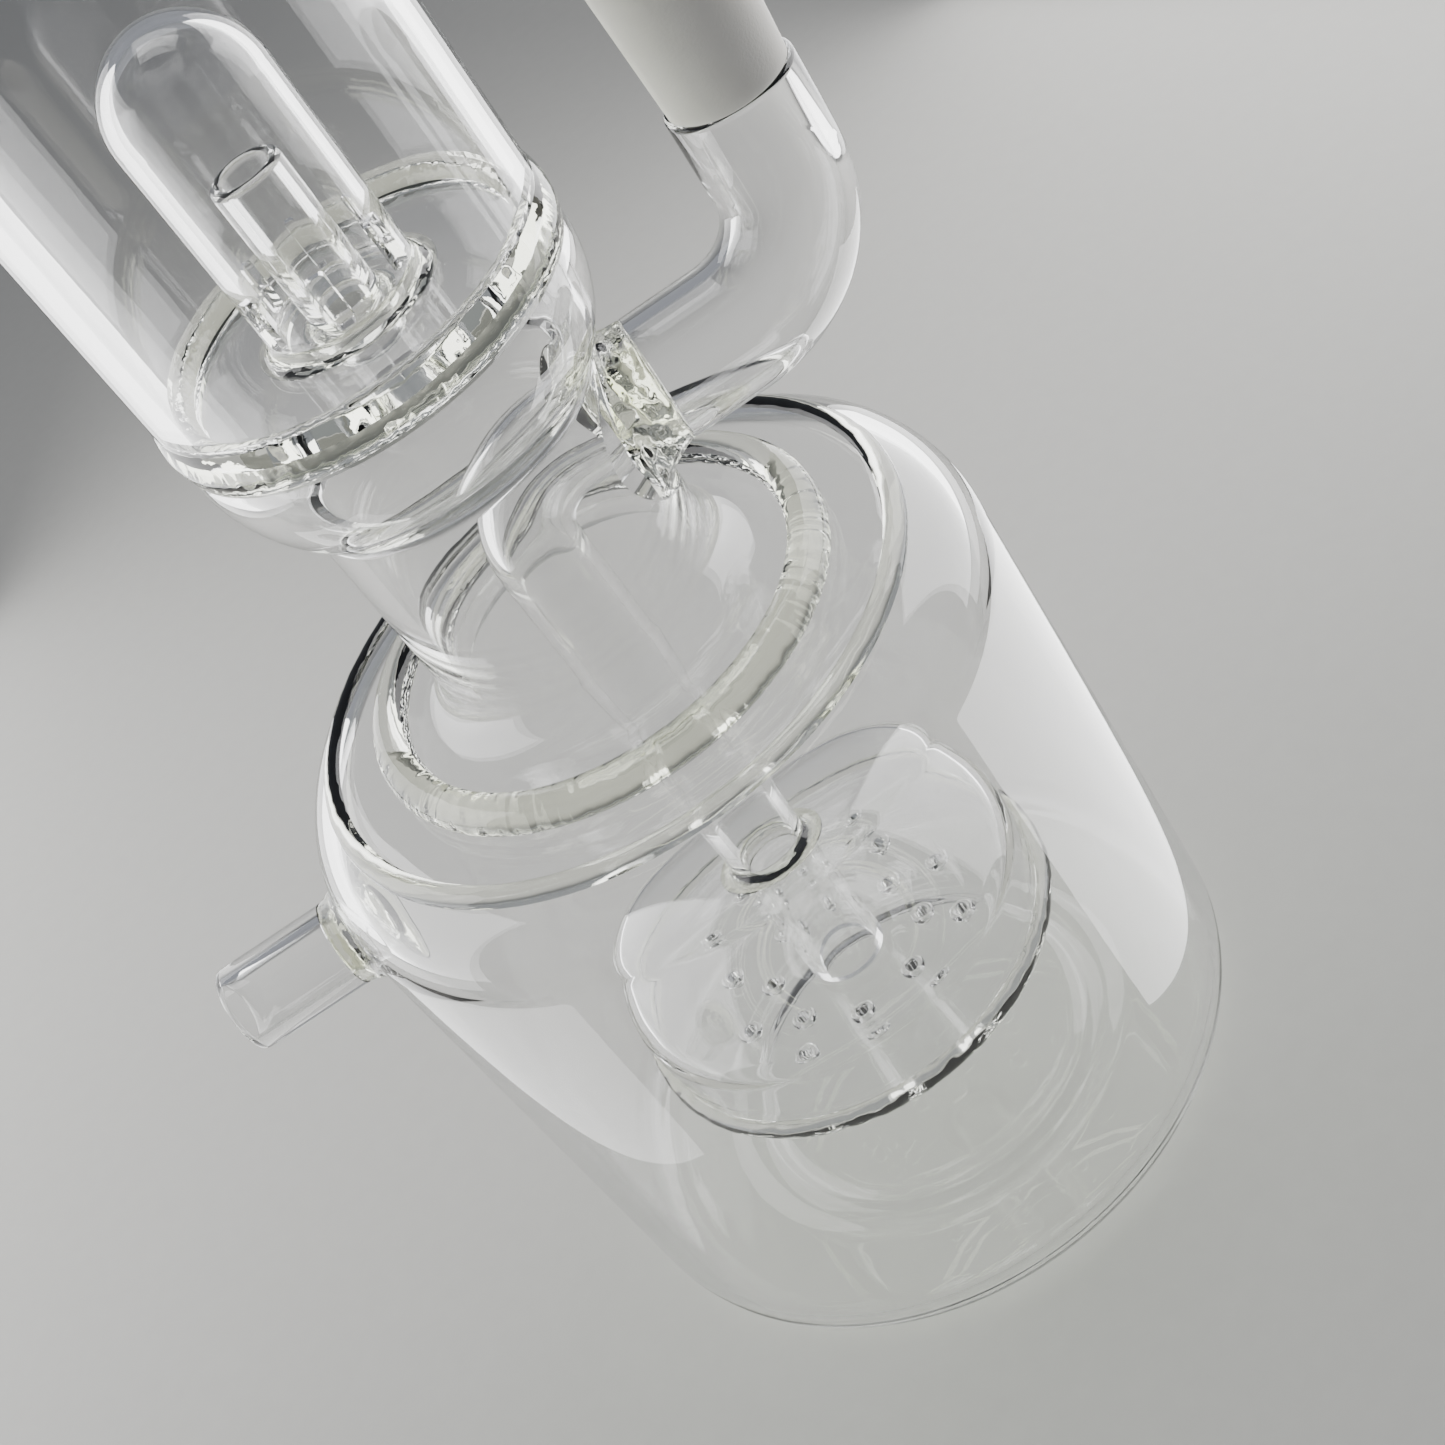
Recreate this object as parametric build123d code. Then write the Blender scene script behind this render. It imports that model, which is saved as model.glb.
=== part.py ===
from build123d import *
from math import cos, hypot, pi, sin, sqrt
import os

# Two-stage glass bubbler, millimetres, +Z up.
# Origin: centre of the foot of the jar, on the plane it stands on.
# +X points from the body axis to the side arm, -X to the hose nipple.

# ---- jar ----
JAR_OD = 95.0             # stock tube the jar is blown from
JAR_WALL = 2.8
BASE_CORNER = 7.0         # outside rounding at the foot of the jar
BASE_H = 10.0             # height at which the pressed base joins the wall
PUNT_D = 54.0             # raised middle of the base
PUNT_RISE = 1.5
PUNT_SLOPE = 3.0
SHOULDER_TOP = 94.0       # flat top of the shoulder
SHOULDER_CORNER = 12.0
OPENING_D = 60.0          # round opening left in the shoulder
SEAM_IN = 7.9             # from the side of the jar in to the raised seam on its shoulder
SEAM_BEAD_R = 1.6
SEAM_SUNK = 0.7

# ---- neck ----
NECK_OD = 38.0
NECK_WALL = 2.5
FOOT_D = 56.8             # flat flange the neck flares out to
FOOT_TOP = 96.6
FOOT_FILLET = 5.0
NECK_RING_D = 58.4        # thick weld closing the shoulder opening
NECK_RING_BEAD_R = 2.6
NECK_RING_Z = 95.0

# ---- upper chamber ----
UPPER_OD = 50.0
UPPER_WALL = 2.5
CLOSURE_CORNER = 18.0     # outside rounding under the upper chamber
CLOSURE_Z = 142.0         # height where that rounding turns vertical
CLOSURE_FILLET = 2.2
FLOOR_TOP = 148.0
FLOOR_T = 2.5
FLOOR_D = 43.0
FLOOR_WELD_H = 3.0        # half height of the weld ring round the floor
FLOOR_WELD_PROUD = 0.6
FLOOR_WELD_LAP = 0.9
UPPER_TOP = 250.0
RIM_H = 3.2
RIM_PROUD = 1.4

# ---- dome and riser inside the upper chamber ----
DOME_OD = 19.0
DOME_WALL = 1.5
DOME_APEX = 184.7
DOME_SLOTS = 6
SLOT_W = 2.2
SLOT_Z0 = 150.2
SLOT_H = 6.5
DOME_WELD = 2.0
RISER_OD = 8.8
RISER_WALL = 1.5
RISER_TOP = 167.0
RISER_FOOT = 141.0
RISER_WELD = 1.6

# ---- side arm and its ground socket ----
ARM_OD = 16.0
ARM_BEND_R = 14.0
ARM_OFFSET = 47.2         # upright leg of the arm, from the body axis
SEAL_R = 10.5             # patch of neck wall melted together with both tubes
SEAL_DROP = 1.5           # that patch sits a little lower than the arm
SEAL_GAP = 0.15           # plain neck left between that patch and the closure above
SEAL_L = 4.2              # reach of the weld along the arm
SEAL_STEM_L = 2.0         # reach of the weld along the downstem
SOCKET_MOUTH_D = 14.5     # wide end of the ground cone
SOCKET_TAPER = 0.1        # change of diameter for each unit of length
SOCKET_BOTTOM = 144.0
SOCKET_TOP = 164.0
SOCKET_WALL = 1.15
SOCKET_RIM_H = 2.6
SOCKET_RIM_PROUD = 1.1

# ---- downstem and puck diffuser ----
STEM_OD = 11.5
STEM_WALL = 1.5
STEM_BEND_R = 10.0
STEM_LIFT = 1.5           # gap between the stem lip and the middle of the plate
PUCK_OD = 59.6
PUCK_WALL = 1.8
PUCK_BOTTOM = 27.5
PLATE_T = 2.0
DISH = 4.0                # depth the plate is dished downward
PUCK_CROWN_R = 60.0
PUCK_CORNER = 4.0
PUCK_TOP = 47.5           # height of the crown at the stem
PUCK_RIM_BEAD_R = 1.5
PUCK_WELD = 2.4
HOLE_D = 1.8
HOLE_ROWS = ((10, 35.4, 14.0), (8, 23.6, 35.0))

# ---- hose nipple ----
NIPPLE_OD = 12.0
NIPPLE_WALL = 2.0
NIPPLE_Z = 75.5
NIPPLE_REACH = 67.3
NIPPLE_SEAL_R = 8.8
NIPPLE_SEAL_L = 3.5
NIPPLE_LIP = 0.7

JAR_R = JAR_OD / 2
NECK_R = NECK_OD / 2
UPPER_R = UPPER_OD / 2
ARM_R = ARM_OD / 2
STEM_R = STEM_OD / 2
PUCK_R = PUCK_OD / 2
CLOSURE_SPAN = CLOSURE_CORNER + CLOSURE_FILLET
CLOSURE_OUT = NECK_R + CLOSURE_FILLET - (UPPER_R - CLOSURE_CORNER)
CLOSURE_LOW = CLOSURE_Z - sqrt(CLOSURE_SPAN * CLOSURE_SPAN - CLOSURE_OUT * CLOSURE_OUT)
ARM_Z = CLOSURE_LOW - SEAL_GAP - SEAL_R + SEAL_DROP
SEAL_END = NECK_R + SEAL_L
STEM_ROOT = NECK_R - NECK_WALL - SEAL_STEM_L
PLATE_TOP = PUCK_BOTTOM + PLATE_T
STEM_FOOT = PLATE_TOP - DISH + STEM_LIFT
SOCKET_BOTTOM_D = SOCKET_MOUTH_D - SOCKET_TAPER * (SOCKET_TOP - SOCKET_BOTTOM)
EYE = 45 * pi / 180


def spun(edges):
    """Solid of revolution about Z from edges drawn in the XZ plane."""
    return revolve(Plane.XZ * make_face(Wire(edges)), Axis.Z)


def seg(a, b):
    """Straight run between two (radius, height) points."""
    return Line(a, b).edge()


def bow(a, mid, b):
    """Round run between two (radius, height) points."""
    return ThreePointArc(a, mid, b).edge()


def tube(r_out, r_in, z0, z1):
    """Upright tube about the body axis."""
    body = Pos(0, 0, z0) * extrude(Circle(r_out) - Circle(r_in), z1 - z0)
    return body


def rod(r, z0, z1):
    """Upright solid rod about the body axis."""
    return Pos(0, 0, z0) * extrude(Circle(r), z1 - z0)


def crossbar(r, x0, x1, z):
    """Solid rod lying along X at height z."""
    return Pos(x0, 0, z) * Rot(0, 90, 0) * extrude(Circle(r), x1 - x0)


def fillet_ring(r, leg, z, up):
    """Hollow-fillet weld standing on a flat at height z, against a wall of radius r."""
    top = z + up * leg
    bend = leg * (1 - sin(EYE))
    ring = [
        seg((r, z), (r + leg, z)),
        bow((r + leg, z), (r + bend, z + up * bend), (r, top)),
        seg((r, top), (r, z)),
    ]
    return spun(ring)


def jar_outside():
    """Solid envelope of the jar: raised base, wall and shoulder."""
    r = JAR_R
    b = BASE_CORNER
    s = SHOULDER_CORNER
    p = PUNT_D / 2
    top = SHOULDER_TOP
    return spun([
        seg((0, PUNT_RISE), (p - PUNT_SLOPE, PUNT_RISE)),
        seg((p - PUNT_SLOPE, PUNT_RISE), (p, 0)),
        seg((p, 0), (r - b, 0)),
        bow((r - b, 0), (r - b + b * sin(EYE), b - b * cos(EYE)), (r, b)),
        seg((r, b), (r, top - s)),
        bow((r, top - s), (r - s + s * cos(EYE), top - s + s * sin(EYE)), (r - s, top)),
        seg((r - s, top), (0, top)),
        seg((0, top), (0, PUNT_RISE)),
    ])


def jar_hollow():
    """Inside of the jar, one wall thickness within the envelope."""
    w = JAR_WALL
    r = JAR_R - w
    b = BASE_CORNER - w
    s = SHOULDER_CORNER - w
    p = PUNT_D / 2
    top = SHOULDER_TOP - w
    rise = w + PUNT_RISE
    return spun([
        seg((0, rise), (p - PUNT_SLOPE, rise)),
        seg((p - PUNT_SLOPE, rise), (p, w)),
        seg((p, w), (r - b, w)),
        bow((r - b, w), (r - b + b * sin(EYE), w + b - b * cos(EYE)), (r, w + b)),
        seg((r, w + b), (r, top - s)),
        bow((r, top - s), (r - s + s * cos(EYE), top - s + s * sin(EYE)), (r - s, top)),
        seg((r - s, top), (0, top)),
        seg((0, top), (0, rise)),
    ])


def band(shape, z0, z1):
    """The part of a shape lying between two heights."""
    return shape & rod(JAR_OD, z0, z1)


def jar_base(glass):
    """Pressed base: flat foot ring, raised middle, rounded corner."""
    return band(glass, -1, BASE_H)


def jar_wall(glass):
    """Straight wall of the jar, opened where the hose nipple is sealed in."""
    wall = band(glass, BASE_H, SHOULDER_TOP - SHOULDER_CORNER)
    return wall - crossbar(NIPPLE_SEAL_R, -JAR_OD, 0, NIPPLE_Z)


def jar_shoulder(glass):
    """Rounded shoulder with a flat top and a round opening."""
    top = band(glass, SHOULDER_TOP - SHOULDER_CORNER, SHOULDER_TOP + 1)
    top = top - crossbar(NIPPLE_SEAL_R, -JAR_OD, 0, NIPPLE_Z)
    return top - rod(OPENING_D / 2, 0, SHOULDER_TOP + 1)


def shoulder_seam(envelope):
    """Low raised seam where the blown shoulder was closed."""
    s = SHOULDER_CORNER
    out = s - SEAM_IN
    rise = sqrt(s * s - out * out)
    k = (s - SEAM_SUNK) / s
    r = JAR_R - s + k * out
    z = SHOULDER_TOP - s + k * rise
    bead = revolve(Plane.XZ * Pos(r, z) * Circle(SEAM_BEAD_R), Axis.Z)
    return bead - envelope


def neck_foot():
    """Flared lower end of the neck, ending in a flat flange."""
    w = NECK_WALL
    f = FOOT_FILLET
    z = FOOT_TOP + f
    c = NECK_R + f
    i = f + w
    edge = FOOT_D / 2
    return spun([
        seg((NECK_R, z), (NECK_R - w, z)),
        bow((NECK_R - w, z), (c - i * cos(EYE), z - i * sin(EYE)), (c, z - i)),
        seg((c, z - i), (edge, z - i)),
        seg((edge, z - i), (edge, FOOT_TOP)),
        seg((edge, FOOT_TOP), (c, FOOT_TOP)),
        bow((c, FOOT_TOP), (c - f * cos(EYE), z - f * sin(EYE)), (NECK_R, z)),
    ])


def neck_weld_ring(shoulder, foot):
    """Thick rounded weld joining the flange of the neck to the shoulder."""
    centre = Pos(NECK_RING_D / 2, NECK_RING_Z)
    bead = revolve(Plane.XZ * centre * Circle(NECK_RING_BEAD_R), Axis.Z)
    return bead - shoulder - foot


def upper_closure():
    """Rounded underside of the upper chamber, drawn down into the neck."""
    c = UPPER_R - CLOSURE_CORNER
    big = CLOSURE_CORNER
    small = CLOSURE_CORNER - UPPER_WALL
    q = CLOSURE_FILLET
    z = CLOSURE_LOW
    bore = NECK_R - NECK_WALL
    seam = FLOOR_TOP - FLOOR_T / 2 - FLOOR_WELD_H
    ux = (NECK_R + q - c) / (big + q)
    uz = (CLOSURE_Z - z) / (big + q)
    touch = (c + big * ux, CLOSURE_Z - big * uz)
    n = hypot(1 + ux, uz)
    hollow = (NECK_R + q - q * (1 + ux) / n, z + q * uz / n)
    mid = (c + big * sin(1.25), CLOSURE_Z - big * cos(1.25))
    inner_z = CLOSURE_Z - sqrt(small * small - (bore - c) ** 2)
    inner_mid = (c + small * sin(1.1), CLOSURE_Z - small * cos(1.1))
    return spun([
        seg((bore, z), (NECK_R, z)),
        bow((NECK_R, z), hollow, touch),
        bow(touch, mid, (UPPER_R, CLOSURE_Z)),
        seg((UPPER_R, CLOSURE_Z), (UPPER_R, seam)),
        seg((UPPER_R, seam), (UPPER_R - UPPER_WALL, seam)),
        seg((UPPER_R - UPPER_WALL, seam), (UPPER_R - UPPER_WALL, CLOSURE_Z)),
        bow((UPPER_R - UPPER_WALL, CLOSURE_Z), inner_mid, (bore, inner_z)),
        seg((bore, inner_z), (bore, z)),
    ])


def neck_tube():
    """Neck between its flared foot and the upper chamber, opened for the side arm."""
    z0 = FOOT_TOP + FOOT_FILLET
    stock = tube(NECK_R, NECK_R - NECK_WALL, z0, CLOSURE_LOW)
    return stock - crossbar(SEAL_R, 0, NECK_OD, ARM_Z - SEAL_DROP)


def floor_disc():
    """Flat glass floor of the upper chamber, bored for the riser."""
    return tube(FLOOR_D / 2, RISER_OD / 2, FLOOR_TOP - FLOOR_T, FLOOR_TOP)


def floor_weld_ring():
    """Thick weld holding the floor and joining the two lengths of tube."""
    r = UPPER_R
    ri = UPPER_R - UPPER_WALL
    mid = FLOOR_TOP - FLOOR_T / 2
    z0 = mid - FLOOR_WELD_H
    z1 = mid + FLOOR_WELD_H
    edge = FLOOR_D / 2
    lip = edge - FLOOR_WELD_LAP
    low = FLOOR_TOP - FLOOR_T
    upper = ((lip + ri) / 2 - 0.35, (FLOOR_TOP + z1) / 2 + 0.35)
    lower = ((lip + ri) / 2 - 0.35, (low + z0) / 2 - 0.35)
    return spun([
        bow((r, z0), (r + FLOOR_WELD_PROUD, mid), (r, z1)),
        seg((r, z1), (ri, z1)),
        bow((ri, z1), upper, (lip, FLOOR_TOP)),
        seg((lip, FLOOR_TOP), (edge, FLOOR_TOP)),
        seg((edge, FLOOR_TOP), (edge, low)),
        seg((edge, low), (lip, low)),
        bow((lip, low), lower, (ri, z0)),
        seg((ri, z0), (r, z0)),
    ])


def upper_tube():
    """Tall open tube of the upper chamber."""
    z0 = FLOOR_TOP - FLOOR_T / 2 + FLOOR_WELD_H
    return tube(UPPER_R, UPPER_R - UPPER_WALL, z0, UPPER_TOP - RIM_H)


def mouth_rim():
    """Fire-rounded rim thickened outward at the open top."""
    r = UPPER_R
    ri = UPPER_R - UPPER_WALL
    z0 = UPPER_TOP - RIM_H
    out = (r + RIM_PROUD, UPPER_TOP - RIM_H / 2)
    crown = ((r + ri) / 2, UPPER_TOP)
    side = UPPER_TOP - RIM_H / 4
    return spun([
        seg((ri, z0), (r, z0)),
        bow((r, z0), out, (r + RIM_PROUD / 4, side)),
        bow((r + RIM_PROUD / 4, side), crown, (ri, side)),
        seg((ri, side), (ri, z0)),
    ])


def dome():
    """Round-topped tube over the riser, slotted near the floor."""
    r = DOME_OD / 2
    ri = r - DOME_WALL
    spring = DOME_APEX - r
    shells = []
    for a in (r, ri):
        tip = (a * cos(EYE), spring + a * sin(EYE))
        shells.append(spun([
            seg((0, FLOOR_TOP), (a, FLOOR_TOP)),
            seg((a, FLOOR_TOP), (a, spring)),
            bow((a, spring), tip, (0, spring + a)),
            seg((0, spring + a), (0, FLOOR_TOP)),
        ]))
    body = shells[0] - shells[1]
    for n in range(DOME_SLOTS):
        cut = Pos(r, 0, SLOT_Z0 + SLOT_H / 2) * Box(3 * DOME_WALL, SLOT_W, SLOT_H)
        body = body - Rot(0, 0, 30 + n * 360 / DOME_SLOTS) * cut
    return body


def riser_tube():
    """Short open tube carrying gas up through the floor into the dome."""
    r = RISER_OD / 2
    return tube(r, r - RISER_WALL, RISER_FOOT, RISER_TOP)


def elbow(r, start, corner, bend_r, end_z):
    """Solid of radius r: level from start, round a right-angle bend, then to end_z."""
    way = 1 if corner > start else -1
    rise = 1 if end_z > ARM_Z else -1
    knee = corner - way * bend_r
    bend_z = ARM_Z + rise * bend_r
    turn = (knee + way * bend_r * sin(EYE), 0, bend_z - rise * bend_r * cos(EYE))
    path = Wire([
        Line((start, 0, ARM_Z), (knee, 0, ARM_Z)).edge(),
        ThreePointArc((knee, 0, ARM_Z), turn, (corner, 0, bend_z)).edge(),
        Line((corner, 0, bend_z), (corner, 0, end_z)).edge(),
    ])
    face = Plane(origin=(start, 0, ARM_Z), z_dir=(way, 0, 0))
    return sweep(face * Circle(r), path=path)


def side_arm_tube():
    """Bent tube leading away from the neck and turning up."""
    run = []
    for r in (ARM_R, SOCKET_BOTTOM_D / 2):
        run.append(elbow(r, SEAL_END, ARM_OFFSET, ARM_BEND_R, SOCKET_BOTTOM))
    return run[0] - run[1]


def disc_at(x, z, r):
    """Upright disc facing along X."""
    return Plane(origin=(x, 0, z), z_dir=(1, 0, 0)) * Circle(r)


def ring_seal():
    """Melted joint of neck wall, side arm and downstem, with the gas way through it."""
    low = ARM_Z - SEAL_DROP
    ri = NECK_R - NECK_WALL
    x0 = NECK_R - 1.5
    patch = tube(NECK_R, ri, 0, CLOSURE_Z) & crossbar(SEAL_R, 0, NECK_OD, low)
    waist = x0 + 0.35 * (SEAL_END - x0)
    flare = loft([
        disc_at(x0, low, SEAL_R),
        disc_at(waist, ARM_Z - SEAL_DROP * 0.4, ARM_R + (SEAL_R - ARM_R) * 0.4),
        disc_at(SEAL_END, ARM_Z, ARM_R),
    ])
    stub = crossbar(SEAL_R, 0, x0, low)
    outside = (flare + stub) - rod(NECK_R, 0, UPPER_TOP)
    cone = loft([
        disc_at(STEM_ROOT, ARM_Z, STEM_R),
        disc_at(NECK_R, ARM_Z, STEM_R + 2 * SEAL_STEM_L),
    ])
    inside = cone & rod(ri, 0, CLOSURE_Z)
    way_in = loft([
        disc_at(STEM_ROOT, ARM_Z, STEM_R - STEM_WALL),
        disc_at(SEAL_END, ARM_Z, SOCKET_BOTTOM_D / 2),
    ])
    return (patch + outside + inside) - way_in


def socket_bore(z):
    """Radius of the ground cone at a height."""
    return (SOCKET_MOUTH_D - SOCKET_TAPER * (SOCKET_TOP - z)) / 2


def ground_socket():
    """Socket ground to a slow taper, wide end up."""
    z0 = SOCKET_BOTTOM
    z1 = SOCKET_TOP - SOCKET_RIM_H
    a = socket_bore(z0)
    b = socket_bore(z1)
    body = spun([
        seg((a, z0), (a + SOCKET_WALL, z0)),
        seg((a + SOCKET_WALL, z0), (b + SOCKET_WALL, z1)),
        seg((b + SOCKET_WALL, z1), (b, z1)),
        seg((b, z1), (a, z0)),
    ])
    return Pos(ARM_OFFSET, 0, 0) * body


def socket_rim():
    """Rounded bead at the mouth of the socket."""
    z0 = SOCKET_TOP - SOCKET_RIM_H
    a = socket_bore(z0)
    b = socket_bore(SOCKET_TOP)
    out = a + SOCKET_WALL
    bulge = (out + SOCKET_RIM_PROUD, SOCKET_TOP - SOCKET_RIM_H / 2)
    body = spun([
        seg((a, z0), (out, z0)),
        bow((out, z0), bulge, (out, SOCKET_TOP)),
        seg((out, SOCKET_TOP), (b, SOCKET_TOP)),
        seg((b, SOCKET_TOP), (a, z0)),
    ])
    return Pos(ARM_OFFSET, 0, 0) * body


def downstem():
    """Bent tube from the inside of the neck down the axis into the puck."""
    run = []
    for r in (STEM_R, STEM_R - STEM_WALL):
        run.append(elbow(r, STEM_ROOT, 0, STEM_BEND_R, STEM_FOOT))
    return run[0] - run[1]


def puck_solid(inset):
    """Crowned disc, reduced on every side by inset, down to the plate."""
    r = PUCK_R - inset
    ball = PUCK_CROWN_R - inset
    corner = PUCK_CORNER - inset
    zc = PUCK_TOP - sqrt(PUCK_CROWN_R ** 2 - STEM_R ** 2)
    c = PUCK_R - PUCK_CORNER
    far = PUCK_CROWN_R - PUCK_CORNER
    z = zc + sqrt(far * far - c * c)
    k = ball / far
    meet = (c * k, zc + (z - zc) * k)
    a = 0.5 * c / far
    crown = (ball * a, zc + ball * sqrt(1 - a * a))
    ux = c / far
    uz = (z - zc) / far
    n = hypot(1 + ux, uz)
    turn = (c + corner * (1 + ux) / n, z + corner * uz / n)
    return spun([
        seg((0, PLATE_TOP), (r, PLATE_TOP)),
        seg((r, PLATE_TOP), (r, z)),
        bow((r, z), turn, meet),
        bow(meet, crown, (0, zc + ball)),
        seg((0, zc + ball), (0, PLATE_TOP)),
    ])


def puck_body():
    """Crowned shell of the puck diffuser."""
    shell = puck_solid(0) - puck_solid(PUCK_WALL)
    return shell - rod(STEM_R, 0, CLOSURE_Z)


def dished(r, level):
    """Height of the dished plate at radius r, on the face whose edge is at level."""
    edge = PUCK_R - PUCK_WALL
    ball = (edge * edge + DISH * DISH) / (2 * DISH)
    return level - DISH + ball - sqrt(ball * ball - r * r)


def puck_plate():
    """Dished underside of the puck with rows of small poked holes."""
    low = PUCK_BOTTOM
    top = PLATE_TOP
    edge = PUCK_R - PUCK_WALL
    half = edge / 2
    plate = spun([
        bow((0, dished(0, low)), (half, dished(half, low)), (edge, low)),
        seg((edge, low), (PUCK_R, low)),
        seg((PUCK_R, low), (PUCK_R, top)),
        seg((PUCK_R, top), (edge, top)),
        bow((edge, top), (half, dished(half, top)), (0, dished(0, top))),
        seg((0, dished(0, top)), (0, dished(0, low))),
    ])
    for count, circle_d, first in HOLE_ROWS:
        for n in range(count):
            spot = Rot(0, 0, first + n * 360 / count) * Pos(circle_d / 2, 0, 0)
            plate = plate - spot * rod(HOLE_D / 2, 0, PUCK_TOP)
    return plate


def puck_rim():
    """Weld bead round the edge where plate and shell meet."""
    centre = Pos(PUCK_R, PUCK_BOTTOM + PUCK_RIM_BEAD_R)
    bead = revolve(Plane.XZ * centre * Circle(PUCK_RIM_BEAD_R), Axis.Z)
    return bead - rod(PUCK_R, 0, CLOSURE_Z)


def puck_weld():
    """Weld closing the crown of the puck round the downstem."""
    q = PUCK_WELD
    z = PUCK_TOP
    blank = spun([
        seg((STEM_R, z - 1), (STEM_R + q, z - 1)),
        seg((STEM_R + q, z - 1), (STEM_R + q, z)),
        bow((STEM_R + q, z), (STEM_R + q * 0.3, z + q * 0.3), (STEM_R, z + q)),
        seg((STEM_R, z + q), (STEM_R, z - 1)),
    ])
    return blank - puck_solid(0)


def nipple_tube():
    """Straight hose nipple standing out from the jar wall, lip rounded."""
    r = NIPPLE_OD / 2
    root = -JAR_R - NIPPLE_SEAL_L
    bar = crossbar(r, -NIPPLE_REACH, root, NIPPLE_Z)
    bar = bar - crossbar(r - NIPPLE_WALL, -JAR_OD, 0, NIPPLE_Z)
    lip = bar.faces().sort_by(Axis.X)[0]
    return fillet(lip.edges(), NIPPLE_LIP)


def nipple_seal(envelope, glass):
    """Patch of jar wall drawn out to meet the nipple."""
    r = NIPPLE_OD / 2
    wide = NIPPLE_SEAL_R
    x0 = -JAR_R - NIPPLE_SEAL_L
    x1 = -JAR_R + 0.6
    mid = (x0 + 0.62 * (x1 - x0), r + 0.3 * (wide - r))
    edges = [
        Line((x0, 0), (x0, r)).edge(),
        ThreePointArc((x0, r), mid, (x1, wide)).edge(),
        Line((x1, wide), (-JAR_R + JAR_WALL, wide)).edge(),
        Line((-JAR_R + JAR_WALL, wide), (-JAR_R + JAR_WALL, 0)).edge(),
        Line((-JAR_R + JAR_WALL, 0), (x0, 0)).edge(),
    ]
    flare = Pos(0, 0, NIPPLE_Z) * revolve(Plane.XZ * make_face(Wire(edges)), Axis.X)
    patch = glass & crossbar(wide, -JAR_OD, 0, NIPPLE_Z)
    outside = flare - envelope
    return (patch + outside) - crossbar(r - NIPPLE_WALL, -JAR_OD, 0, NIPPLE_Z)


def build_parts():
    """Every piece of the vessel by node name."""
    envelope = jar_outside()
    glass = envelope - jar_hollow()
    shoulder = jar_shoulder(glass)
    foot = neck_foot()
    return {
        "jar_base": jar_base(glass),
        "jar_wall": jar_wall(glass),
        "jar_shoulder": shoulder,
        "shoulder_seam": shoulder_seam(envelope),
        "neck_foot": foot,
        "neck_weld_ring": neck_weld_ring(shoulder, foot),
        "neck_tube": neck_tube(),
        "upper_closure": upper_closure(),
        "floor_disc": floor_disc(),
        "floor_weld_ring": floor_weld_ring(),
        "upper_tube": upper_tube(),
        "mouth_rim": mouth_rim(),
        "dome": dome(),
        "dome_weld": fillet_ring(DOME_OD / 2, DOME_WELD, FLOOR_TOP, 1),
        "riser_tube": riser_tube(),
        "riser_weld": fillet_ring(RISER_OD / 2, RISER_WELD, FLOOR_TOP, 1),
        "side_arm_tube": side_arm_tube(),
        "ring_seal": ring_seal(),
        "ground_socket": ground_socket(),
        "socket_rim": socket_rim(),
        "downstem": downstem(),
        "puck_body": puck_body(),
        "puck_plate": puck_plate(),
        "puck_rim": puck_rim(),
        "puck_weld": puck_weld(),
        "nipple_tube": nipple_tube(),
        "nipple_seal": nipple_seal(envelope, glass),
    }


os.makedirs("parts", exist_ok=True)
for name, shape in build_parts().items():
    export_step(shape, f"parts/{name}.step")
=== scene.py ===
from math import acos, asin, atan2, cos, degrees, hypot, pi, radians, sin, sqrt

import bpy
from mathutils import Euler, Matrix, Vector


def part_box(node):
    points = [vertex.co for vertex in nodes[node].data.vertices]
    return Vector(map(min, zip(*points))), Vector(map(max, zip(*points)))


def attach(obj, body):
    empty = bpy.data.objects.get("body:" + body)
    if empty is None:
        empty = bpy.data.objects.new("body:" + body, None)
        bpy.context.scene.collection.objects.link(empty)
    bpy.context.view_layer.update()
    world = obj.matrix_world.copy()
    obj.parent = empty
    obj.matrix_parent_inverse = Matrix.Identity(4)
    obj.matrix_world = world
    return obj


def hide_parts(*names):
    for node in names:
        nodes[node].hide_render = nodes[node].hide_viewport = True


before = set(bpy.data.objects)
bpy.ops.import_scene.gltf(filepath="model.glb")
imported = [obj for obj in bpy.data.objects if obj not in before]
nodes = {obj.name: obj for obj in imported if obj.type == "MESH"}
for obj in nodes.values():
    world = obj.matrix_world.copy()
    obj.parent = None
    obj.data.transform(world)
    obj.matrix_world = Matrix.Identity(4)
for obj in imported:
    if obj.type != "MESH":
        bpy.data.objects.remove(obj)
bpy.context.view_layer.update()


# Jar base: the closed foot of a 95 mm borosilicate tube, worked flat in the flame with its middle
# pushed up a little, so that the jar stands on a ring. It is the first piece, so the ways of turning
# an outline into glass, and the clear glass itself, are set out here.
MM = 0.001
NEAR = 0.02 * MM
JAR_R = 47.5
JAR_WALL = 2.8
BASE_CORNER = 7.0
PUNT_IN = 23.8
PUNT_OUT = 27.2
PUNT_RISE = 1.5
PUNT_SWELL = 1.0


def linear(code):
    """Linear colour of an sRGB hex value."""
    parts = [int(code[i:i + 2], 16) / 255 for i in (1, 3, 5)]
    low = [v / 12.92 for v in parts]
    high = [((v + 0.055) / 1.055) ** 2.4 for v in parts]
    return tuple(a if v <= 0.04045 else b for v, a, b in zip(parts, low, high)) + (1.0,)


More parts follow.
